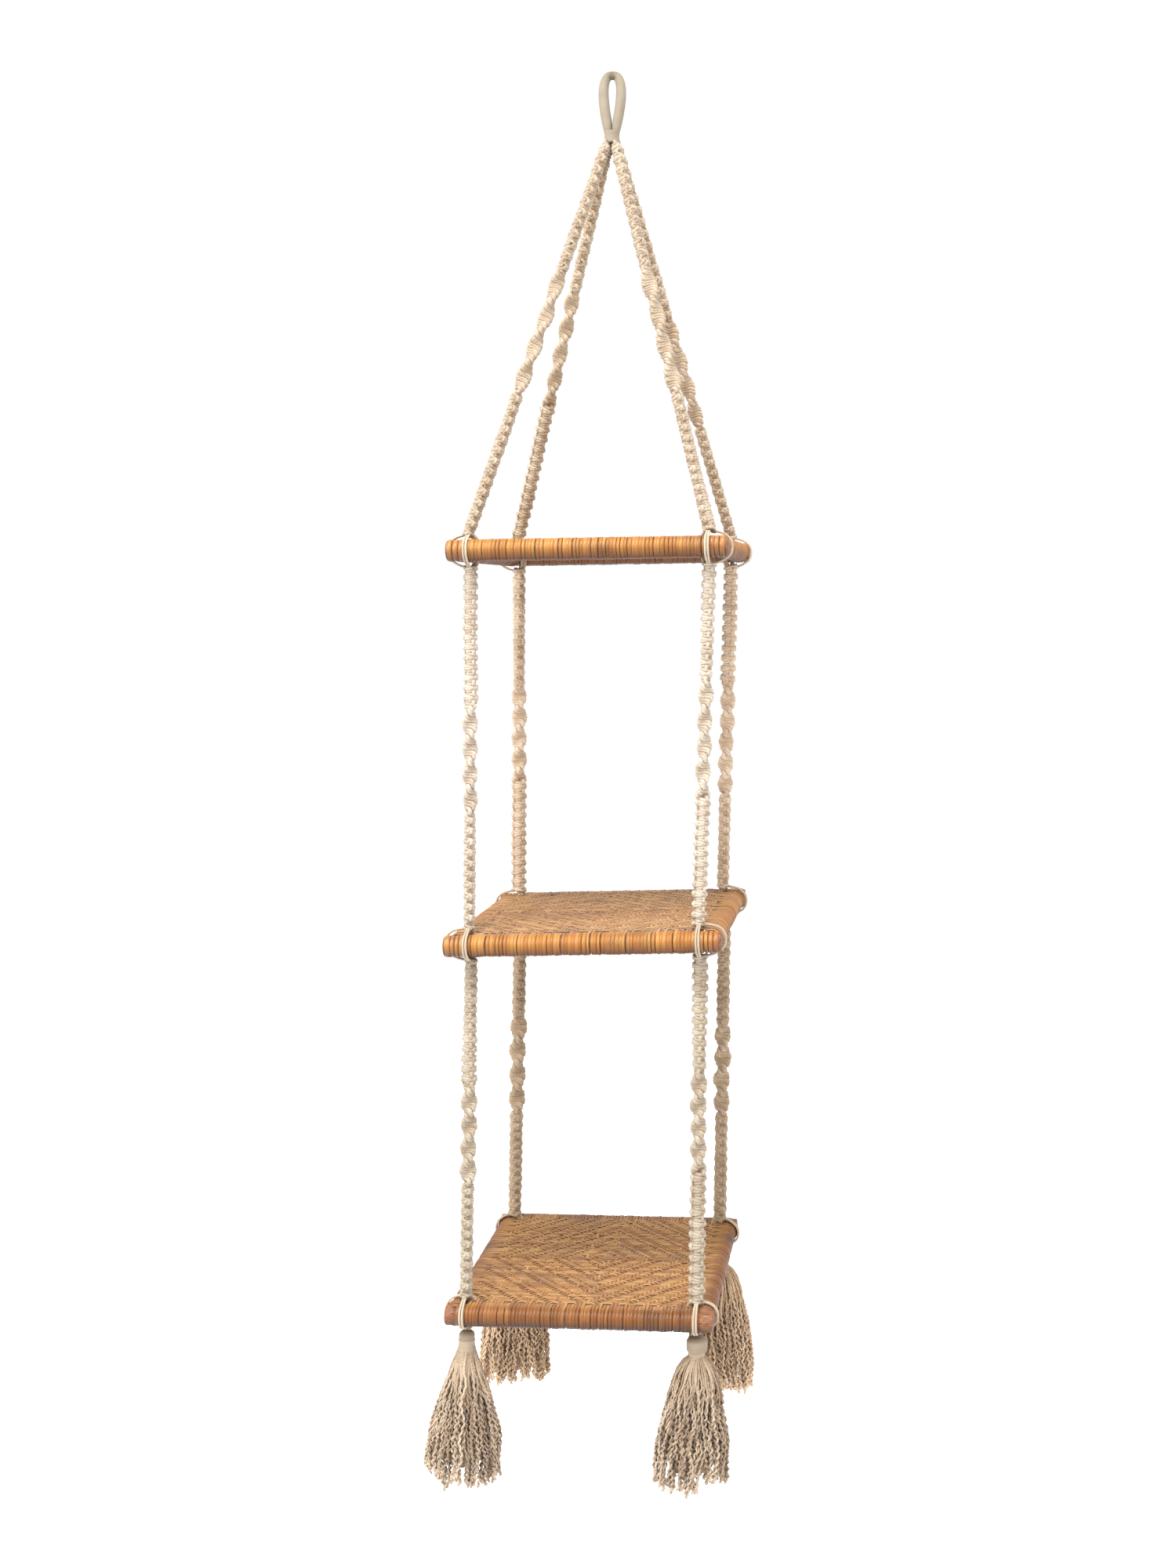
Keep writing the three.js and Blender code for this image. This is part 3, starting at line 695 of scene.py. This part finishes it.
# Each strap: its square knots above and below the spiral, where down it the spiral starts and
# ends, and how far it has turned, in degrees, at its top, at the spiral's two ends and at its foot.
strap_fields = ("tier", "corner", "above", "below", "from", "to", "turn")
strap_rows = [
    ("upper", "front_left", 12, 13, 0.345, 0.66, (90, 90, 810, 810)),
    ("upper", "back_left", 12, 14, 0.356, 0.648, (90, 90, 900, 900)),
    ("upper", "front_right", 12, 13, 0.343, 0.669, (60, 90, 810, 855)),
    ("upper", "back_right", 15, 11, 0.433, 0.716, (60, 90, 810, 810)),
    ("middle", "front_left", 13, 10, 0.369, 0.687, (15, 15, 810, 810)),
    ("middle", "back_left", 11, 11, 0.36, 0.663, (45, 90, 900, 900)),
    ("middle", "front_right", 10, 12, 0.313, 0.652, (20, 60, 900, 900)),
    ("middle", "back_right", 11, 9, 0.359, 0.719, (30, 30, 990, 975)),
    ("lower", "front_left", 12, 10, 0.363, 0.672, (70, 20, 810, 810)),
    ("lower", "back_left", 10, 11, 0.325, 0.659, (45, 90, 810, 780)),
    ("lower", "front_right", 10, 11, 0.323, 0.628, (15, 60, 900, 900)),
    ("lower", "back_right", 11, 10, 0.357, 0.659, (60, 90, 810, 800)),
]
straps = [dict(zip(strap_fields, row)) for row in strap_rows]
corner_signs = {"front_left": (-1, -1), "front_right": (1, -1), "back_left": (-1, 1), "back_right": (1, 1)}
# Steep is how unevenly the cords climb, fast at the sides and slowly across the bars. Bunch is how
# far the bars are pulled together, in mm, and waist how much a strap narrows between two knots.
square_knot = dict(half_width=6.5, bar_out=5.3, side_back=2.5, steep=0.55, bunch=0.25, waist=0.38)
half_knot = dict(half_width=6.3, bar_out=2.8, steep=0.7)
steps_per_knot = 12
strand_radius = 1.95
strand_swell = 0.4
strands_apart = 0.86
neck_share, neck_reach = 0.84, 0.03
# The squares of the half width and half thickness of the oval that the working cords lie round,
# and the half width and half thickness at which they stand proud. Strands nearer the core than
# that are painted darker, as shade in the creases.
oval_width, oval_thickness = 52, 22
proud_width, proud_thickness, spiral_thinner = 7.2, 4.6, 0.7
# The core cords are painted dark, as the shade inside the strap.
core_radius, core_shade_tint = 2.1, 0.22
core_places = [(across, thick) for across in (-2.2, 2.2) for thick in (-1.3, 1.3)]
strap_size = {"upper": (1.08, 1.1), "middle": (1.06, 1.2), "lower": (1.17, 1.32)}


def cord_material(name, light, shade):
    shader = Shader(name, Roughness=0.95, Sheen_Weight=0.2, Sheen_Roughness=0.5)
    along, round_ = shader.lay()
    tint = shader.attribute("tint")
    # The ply stripes are painted darker in their grooves, as shade. The tint carries painted shade from
    # the creases, and the stains are real.
    ply = ((along / 3.6 + round_ * 3.0) * (2 * math.pi)).sine() * 0.5 + 0.5
    fibres = shader.noise(shader.point(along * 0.5, round_ * 14.0, tint * 30.0), 3.0, 3.0)
    stains = shader.noise(shader.position(), 30.0, 3.0)
    share = (ply * 0.15 + fibres * 0.3 + tint * 0.95 - 0.2 - (stains - 0.5) * 0.8).kept()
    return shader.finish(shader.blend(share, shade, light), ply * 0.6 + fibres * 0.6, 0.0006, 0.7)


# The cords of each tier and side have their own colours. Part of the difference is painted light and
# shade: the lower straps are darker, the back ones most, as painted shade under the middle shelf, and the
# middle back straps are lighter and warmer, as painted light. The rest is the cords' own uneven tone.
cord_colours = {
    "upper_front": ((0.47, 0.385, 0.288), (0.22, 0.125, 0.06)),
    "upper_back": ((0.48, 0.385, 0.275), (0.22, 0.12, 0.055)),
    "middle_front": ((0.55, 0.48, 0.39), (0.25, 0.15, 0.08)),
    "middle_back": ((0.62, 0.495, 0.365), (0.27, 0.15, 0.07)),
    "lower_front": ((0.445, 0.385, 0.295), (0.21, 0.125, 0.065)),
    "lower_back": ((0.42, 0.32, 0.215), (0.19, 0.105, 0.05)),
}
cords = {part: cord_material(f"{part}_cord", *colours) for part, colours in cord_colours.items()}


def smooth_step(low, high, value):
    """0 up to low, 1 from high on, and eased between."""
    t = np.clip((value - low) / (high - low), 0, 1)
    return t * t * (3 - 2 * t)


def spread(knots, low, high, rng):
    """A value for each knot, run smoothly from one to the next."""
    values = rng.uniform(low, high, int(knots) + 4)
    return lambda at: np.interp(at, np.arange(len(values)) - 1.5, values)


def sinnet(start, end, strap, size_here, rng, lead):
    """The cords of one strap, knotted from start to end. Lead is how far the knots run on past
    the strap's two ends, as shares of a knot. Places across and along it are first worked out
    as if it were straight and flat, in knots along it and in mm across."""
    length = np.linalg.norm(end - start)
    spiral_knots = round((strap["to"] - strap["from"]) * length / knot_length)
    marks = np.cumsum([0, strap["above"], spiral_knots, strap["below"]]).astype(float)
    first, last = strap["from"] / strap["above"], (1 - strap["to"]) / strap["below"]
    span = (marks[0] - 2, *marks, marks[3] + 2)
    share_down = (-2 * first, 0, strap["from"], strap["to"], 1, 1 + 2 * last)
    turn_down = (strap["turn"][0], *strap["turn"], strap["turn"][3])
    wander = spread(marks[3] / 3, -0.8, 0.8, rng)
    widen, thicken = spread(marks[3], 0.94, 1.06, rng), spread(marks[3], 0.94, 1.08, rng)
    slip, tilt = spread(marks[3], -0.04, 0.04, rng), spread(marks[3], -0.014, 0.014, rng)
    down = unit(end - start)

    def growth(level):
        """The upper straps come out of the neck binding a little thinner."""
        at = np.interp(level, span, share_down)
        if strap["tier"] == "upper":
            return np.clip(neck_share + (1 - neck_share) * at / neck_reach, 0, 1) * size_here
        return np.full_like(at, size_here)

    def laid_down(across, thick, level):
        at = np.interp(level, span, share_down)
        turn = np.radians(np.interp(level, span, turn_down))
        wide = np.stack([np.cos(turn), -np.sin(turn), 0 * turn], axis=-1)
        wide = unit(wide - down * (wide @ down)[:, None])
        thin = np.cross(down, wide)
        drift = wander(level / 3) * np.clip(4 * np.minimum(at, 1 - at), 0, 1)
        size = growth(level)
        line = start + down * (at * length)[:, None]
        return line + wide * ((across + drift) * size)[:, None] + thin * (thick * size)[:, None]

    steps = int((marks[3] + sum(lead)) * steps_per_knot) + 1
    knot = np.linspace(-lead[0], marks[3] + lead[1], steps)
    change = (marks[1] - 0.3, marks[1] + 0.4, marks[2] - 0.4, marks[2] + 0.3)
    in_spiral = np.interp(knot, change, (0, 1, 1, 0))
    phase = 2 * math.pi * knot
    lift = (square_knot["bar_out"] - square_knot["side_back"]) / 2
    swing = (square_knot["bar_out"] + square_knot["side_back"]) / 2
    square_x = -square_knot["half_width"] * np.cos(phase)
    square_z = lift - swing * np.cos(2 * phase)
    square_y = square_knot["steep"] / (4 * math.pi) * np.sin(2 * phase)
    square_y += square_knot["bunch"] / knot_length * np.sin(phase)
    spiral_x = -half_knot["half_width"] * np.cos(phase)
    spiral_z = half_knot["bar_out"] * np.sin(phase)
    spiral_y = half_knot["steep"] / (4 * math.pi) * np.sin(2 * phase)
    x = (square_x + (spiral_x - square_x) * in_spiral) * widen(knot)
    z = (square_z + (spiral_z - square_z) * in_spiral) * thicken(knot)
    y = knot + square_y + (spiral_y - square_y) * in_spiral + slip(knot)
    strands, widths, tints = [], [], []
    for hand in (1, -1):
        path = np.stack([hand * x, hand * z, (y + hand * x * tilt(knot)) * knot_length], axis=-1)
        out = unit(np.stack([hand * x / oval_width, hand * z / oval_thickness, 0 * x], axis=-1))
        beside = unit(np.cross(unit(np.gradient(path, axis=0)), out))
        for half in (-1, 1):
            strand = path + beside * (half * strands_apart * strand_radius)
            level = strand[:, 2] / knot_length
            from_middle = 2 * np.abs(level % 1 - 0.5)
            waist = 1 - square_knot["waist"] * from_middle**3 * (1 - in_spiral)
            across, thick = strand[:, 0] * waist, strand[:, 1] * waist
            thickness = proud_thickness - spiral_thinner * in_spiral
            proud = np.hypot(across / proud_width, thick / thickness)
            strands.append(laid_down(across, thick, level))
            widths.append((strand_radius + strand_swell * (across / 7) ** 2) * growth(knot))
            # Each knot has its own random tone. Strands nearer the core are painted darker, as shade in
            # the creases.
            pale = 0.6 + 0.4 * spread(marks[3], 0, 1, rng)(knot)
            tints.append(pale * smooth_step(0.3, 1.0, proud))
    working = tubes(np.array(strands), np.array(widths), 6, np.array(tints))
    coarse = knot[:: steps_per_knot // 2]
    cores = [laid_down(across + 0 * coarse, thick + 0 * coarse, coarse) for across, thick in core_places]
    return [working, tubes(np.array(cores), core_radius * growth(coarse)[None], 5, core_shade_tint)]


neck_exit = (5.2, 4.6, -76)
tiers = {"upper": (None, "top"), "middle": ("top", "middle"), "lower": ("middle", "bottom")}


def strap_point(shelf, corner, height):
    """Where a strap passes a shelf's corner, at a height above the middle of the poles."""
    x, y = corner_signs[corner]
    row = shelves[shelf]
    return on_shelf(shelf, (x * (row["width"] / 2 - row["inset"]), y * strap_y, height))


for number, strap in enumerate(straps):
    rng = np.random.default_rng(100 + number)
    upper, lower = tiers[strap["tier"]]
    x, y = corner_signs[strap["corner"]]
    end = strap_point(lower, strap["corner"], knot_face)
    if upper:
        start, lead = strap_point(upper, strap["corner"], -knot_face), (0.55, 0.55)
    else:
        start, lead = np.array(neck_exit) * (x, y, 1), (0.1, 0.55)
    name = f"{strap['tier']}_{strap['corner']}"
    part = f"{strap['tier']}_{'front' if y < 0 else 'back'}"
    front_size, back_size = strap_size[strap["tier"]]
    knotted = sinnet(start, end, strap, front_size if y < 0 else back_size, rng, lead)
    piece(f"knots_{name}", knotted, cords[part], [f"strap_{name}"])

# Crossings: at each shelf corner a strap's cords part. One pair goes down outside the front or
# back pole and one outside the side pole, the core drops through the corner of the weave, and
# all are gathered in the next knot below.
pair_radius = 1.3
# The crossing cords have their own colour, darker than the middle straps', and their cores get darker
# tints than their pairs.
worn_cord = cord_material("worn_cord", (0.50, 0.41, 0.30), (0.22, 0.135, 0.07))
wrap_angles = np.radians((66, 22, -26, -74))
pair_top, pair_foot = 19.5, -20
end_pair_lift, side_pair_lift = 1.9, 3.6
side_pair_in, side_pair_ease = 3.5, 8
core_clear = 4
core_heights = (19, 11, -11, -24)
core_cord_radius = 1.75
core_cord_places = ((-1.6, -1.4), (1.6, -1.4), (-1.6, 1.4), (1.6, 1.4))


def round_pole(strap_out, pole_out, wrap_radius):
    """A pair of cords from a strap's knot, out over a pole, and back in under it. Each point is
    how far out it is, how far aside of the pair's middle, and how far up."""
    rows = [(strap_out, pair_top)]
    rows += [(pole_out + wrap_radius * math.cos(a), wrap_radius * math.sin(a)) for a in wrap_angles]
    rows += [(strap_out, pair_foot)]
    line = smooth_line(rows, 34)
    share = np.linspace(0, 1, len(line))
    apart = pair_radius * (0.75 + 0.45 * np.sin(math.pi * share))
    return np.array([np.stack([line[:, 0], beside * apart, line[:, 1]], axis=-1) for beside in (-1, 1)])


for shelf, row in shelves.items():
    for corner, (sx, sy) in corner_signs.items():
        rng = np.random.default_rng(len(shelf) * 17 + sx + 3 * sy + 40)
        strap_x = row["width"] / 2 - row["inset"]
        pole_x, pole_y = row["width"] / 2 - pole_inset, depth / 2 - pole_inset
        shift = rng.uniform(-1, 1)
        out, off, up = np.moveaxis(round_pole(strap_y, pole_y, peel_radius + end_pair_lift), -1, 0)
        over_end = np.stack([sx * (strap_x + off + shift), sy * out, up], axis=-1)
        out, off, up = np.moveaxis(round_pole(strap_x, pole_x, peel_radius + side_pair_lift), -1, 0)
        drawn_in = side_pair_in * np.minimum(1, np.abs(pair_foot + np.abs(up)) / side_pair_ease)
        over_side = np.stack([sx * out, sy * (strap_y - drawn_in + off), up], axis=-1)
        core_x = min(strap_x, row["width"] / 2 - pole_width - core_clear)
        core_y = min(strap_y, depth / 2 - pole_width - core_clear)
        core_spots = ((strap_x, strap_y), (core_x, core_y), (core_x, core_y), (strap_x, strap_y))
        core_rows = [(*spot, height) for spot, height in zip(core_spots, core_heights)]
        core = [(smooth_line(core_rows, 20) + (a, b, 0)) * (sx, sy, 1) for a, b in core_cord_places]
        parts = [tubes(pair, pair_radius, 8, rng.uniform(0.6, 0.9, 2)) for pair in (over_end, over_side)]
        parts.append(tubes(core, core_cord_radius, 8, rng.uniform(0.4, 0.8, 4)))
        parts = [laid(shelf, part) for part in parts]
        name = f"{shelf}_{corner}"
        piece(f"crossing_cords_{name}", parts, worn_cord, [f"crossing_{name}"])

# Tassels: lengths of soft two-ply yarn folded over the strap's end and whipped below the fold
# into a head; cut ends hang free and have kinked into curls, tighter towards the bottom.
yarn_radius = 1.42
yarn_steps = 94
yarn_down = np.linspace(0, 1, yarn_steps) ** 0.87
yarn_locks = 15
tucked_up = 3
lean_depth = 150
wave_lengths = (35, 80)
curl_lengths = (6.2, 9)
matted_radius, matted_reach, matted_shade_tint = 5, 0.66, 0.28
fibre_radius = 0.3
head_turns, collar_turns = (1.5, 0.4), (1.15, 0.3)
# Each tassel: its head's radius and height, its yarns' length, the radius of its skirt, how far it
# leans, how its skirt opens, and the radius of the collar at its neck.
tassel_fields = ("corner", "head_radius", "head", "length", "skirt", "lean", "open", "flare")
tassel_rows = [
    ("front_left", 9.3, 17, 151, 45.5, (-3, -2), "slim", 10.6),
    ("front_right", 12.2, 23, 146, 45, (-6, -2), "full", 12.5),
    ("back_left", 10.4, 20, 156, 46, (0, 2), "full", 11.5),
    ("back_right", 10.8, 20, 160, 43, (4, 2), "full", 11.5),
]
tassels = [dict(zip(tassel_fields, row)) for row in tassel_rows]
# Each ring of yarns: how many, how far from the middle of the neck, and its share of the skirt.
yarn_rings = ((82, 7.8, 1.0), (64, 5.8, 0.83))
# How far a skirt has opened, from 0 to 1, at depths below the neck in mm.
skirts = {
    "slim": ((-3, 2, 11, 23, 41, 58, 80, 103, 125), (0, 0.03, 0.12, 0.24, 0.42, 0.6, 0.78, 0.96, 1)),
    "full": ((-3, 0, 7, 17, 36, 53, 75, 98, 120), (0, 0.05, 0.28, 0.46, 0.6, 0.7, 0.83, 0.96, 1)),
}


def yarn_material(name, light, shade):
    shader = Shader(name, Roughness=0.95, Sheen_Weight=0.3, Sheen_Roughness=0.5)
    along, round_ = shader.lay()
    tint = shader.attribute("tint")
    # The ply stripes are painted darker in their grooves, as shade.
    ply = ((along / 4.2 - round_ * 2.0) * (2 * math.pi)).sine() * 0.5 + 0.5
    stains = shader.noise(shader.position(), 38.0, 3.0)
    share = (ply * 0.25 + tint * 0.8 - (stains - 0.5) * 0.9).kept()
    return shader.finish(shader.blend(share, shade, light), ply, 0.0005, 0.6)


# The back yarn is lighter than the front, as painted light on the back tassels.
yarns = {
    "front": yarn_material("front_yarn", (0.51, 0.385, 0.262), (0.19, 0.112, 0.06)),
    "back": yarn_material("back_yarn", (0.65, 0.462, 0.29), (0.243, 0.134, 0.066)),
}
head_cord = whipping_material("head_cord", (0.34, 0.27, 0.195), (0.13, 0.09, 0.055))
neck_thread = whipping_material("neck_thread", (0.42, 0.335, 0.245), (0.22, 0.155, 0.10))


def wave(fall, size, rng):
    """A slow sway of a hanging yarn, of a size in mm between two limits."""
    reach = rng.uniform(*size)
    return reach * np.sin(2 * math.pi * fall / rng.uniform(*wave_lengths) + rng.uniform(0, 6))


def hanging_yarn(tassel, neck, angle, root, share, lock, rng):
    """One yarn of a tassel, as points and tints. It leaves the neck at an angle and a root
    radius, and hangs in a lock with others."""
    lock_angle, lock_length, lock_tint = lock
    toward = np.angle(np.exp(1j * (lock_angle - angle)))
    bend = angle + toward * 0.35 * smooth_step(0.6, 1.0, yarn_down)
    fall = yarn_down * (tassel["length"] * lock_length * rng.uniform(0.95, 1.02) + tucked_up) - tucked_up
    opened = np.interp(fall, *skirts[tassel["open"]])
    reach = tassel["skirt"] * share * rng.uniform(0.9, 1.03) - 2
    radius = root + (reach - root) * opened
    curl = 0.1 + 0.95 * smooth_step(0.05, 0.6, yarn_down) * rng.uniform(0.6, 1.35)
    spin = 2 * math.pi * fall / rng.uniform(*curl_lengths) * rng.choice([-1, 1]) + rng.uniform(0, 6)
    sway = wave(fall, (1.0, 3.0), rng)
    swell = wave(fall, (0.5, 1.8), rng)
    kinks = rng.normal(0, 0.2, (2, yarn_steps)) * smooth_step(0.1, 0.6, yarn_down)
    loose = smooth_step(0.01, 0.28, yarn_down)
    out = np.stack([np.cos(bend), np.sin(bend), 0 * bend], axis=-1)
    side = np.stack([-np.sin(bend), np.cos(bend), 0 * bend], axis=-1)
    path = neck + out * (radius + curl * np.cos(spin) + swell * loose + kinks[0])[:, None]
    path = path + side * (curl * np.sin(spin) + sway * loose + kinks[1])[:, None]
    path = path + np.outer(np.maximum(fall, 0) / lean_depth, (*tassel["lean"], 0))
    path[:, 2] -= fall
    # Yarns of the inner ring are painted darker, as shade deep in the skirt. Each yarn and lock also has
    # its own tone, and the cut ends are lighter.
    shade = rng.uniform(0.35, 1.0) - (1 - share) * 0.45 + lock_tint * loose
    return path, shade + 0.3 * smooth_step(0.82, 1, yarn_down)


def yarn_skirt(tassel, neck, rng):
    """The paths and tints of all yarns of a tassel."""
    angles = rng.uniform(0, 2 * math.pi, yarn_locks)
    locks = list(zip(angles, rng.uniform(0.9, 1.03, yarn_locks), rng.uniform(-0.45, 0.2, yarn_locks)))
    paths, tints = [], []
    for count, root, share in yarn_rings:
        for index in range(count):
            angle = (index + rng.uniform(-0.5, 0.5)) / count * 2 * math.pi
            nearest = np.argmin(np.abs(np.angle(np.exp(1j * (angles - angle)))))
            path, tint = hanging_yarn(tassel, neck, angle, root, share, locks[nearest], rng)
            paths.append(path)
            tints.append(tint)
    return np.array(paths), np.array(tints)


def matted_core(tassel, neck):
    """The inner yarns of a tassel, matted into one folded body and painted dark, as the shade inside the
    skirt.
    """
    down = np.linspace(0, 0.9, 30)[:, None]
    angle = np.linspace(0, 2 * math.pi, 49)[None, :-1]
    fall = down * tassel["length"]
    opened = np.interp(fall, *skirts[tassel["open"]])
    drawn_in = 1 - smooth_step(0.72, 0.9, down) * 0.35
    folds = 1 + 0.1 * np.sin(13 * angle + 1.5 * np.sin(fall / 9)) + 0.06 * np.sin(29 * angle - fall / 4)
    reach = tassel["skirt"] * matted_reach - matted_radius
    radius = (matted_radius + reach * opened * drawn_in) * folds
    core = np.stack([radius * np.cos(angle), radius * np.sin(angle), -fall + 0 * angle], axis=-1)
    core = core + neck + (fall / lean_depth)[..., None] * (*tassel["lean"], 0)
    return skin(core[None], matted_shade_tint)


def frayed_ends(paths, rng):
    """Two loose fibres at the cut end of each yarn."""
    share = np.linspace(0, 1, 5)[:, None]
    fibres = []
    for path in np.repeat(paths, 2, axis=0):
        begin = path[-rng.integers(2, 8)]
        drift = rng.normal(0, 1.3, 3) + [0, 0, -rng.uniform(0.5, 3)]
        sway = rng.normal(0, 1.2, 3)
        fibres.append(begin + drift * share + sway * np.sin(math.pi * share))
    return tubes(fibres, fibre_radius, 3, rng.uniform(0.6, 1.1, len(fibres)))


for number, tassel in enumerate(tassels):
    rng = np.random.default_rng(300 + number)
    corner = tassel["corner"]
    top = strap_point("bottom", corner, -knot_face)
    neck = top - [0, 0, tassel["head"]]
    paths, tints = yarn_skirt(tassel, neck, rng)
    width = yarn_radius * (0.72 + 0.28 * smooth_step(0, 0.3, yarn_down))
    width = width * (1 + 0.35 * smooth_step(0.9, 0.97, yarn_down))
    hanging = tubes(paths, width * rng.uniform(0.8, 1.15, (len(paths), 1)), 3, tints)
    skirt = [hanging, matted_core(tassel, neck), frayed_ends(paths, rng)]
    radius, height = tassel["head_radius"], tassel["head"]
    knob = [(0.2, 0), (radius * 0.6, -0.4), (radius * 0.93, -3.2), (radius, -6.5)]
    knob += [(radius * 0.97, 8 - height), (9.4, 6.2 - height), (9.0, 4.5 - height)]
    knob += [(7.4, 1 - height), (0.2, -height)]
    flare = tassel["flare"]
    band = [(7.4, 7.4), (9.4, 7), (9.6, 5.5), (9.4, 2.4), (9.7, -0.5), (flare, -4.6)]
    band += [(flare - 0.8, -5.4), (flare - 2.6, -4.8)]
    piece(f"yarn_{corner}", skirt, yarns[corner.split("_")[0]], [f"tassel_{corner}"])
    piece(f"head_{corner}", [wound(knob, *head_turns, top)], head_cord)
    collar = [wound(band, *collar_turns, neck)]
    piece(f"neck_{corner}", collar, neck_thread, [f"tassel_binding_{corner}"])
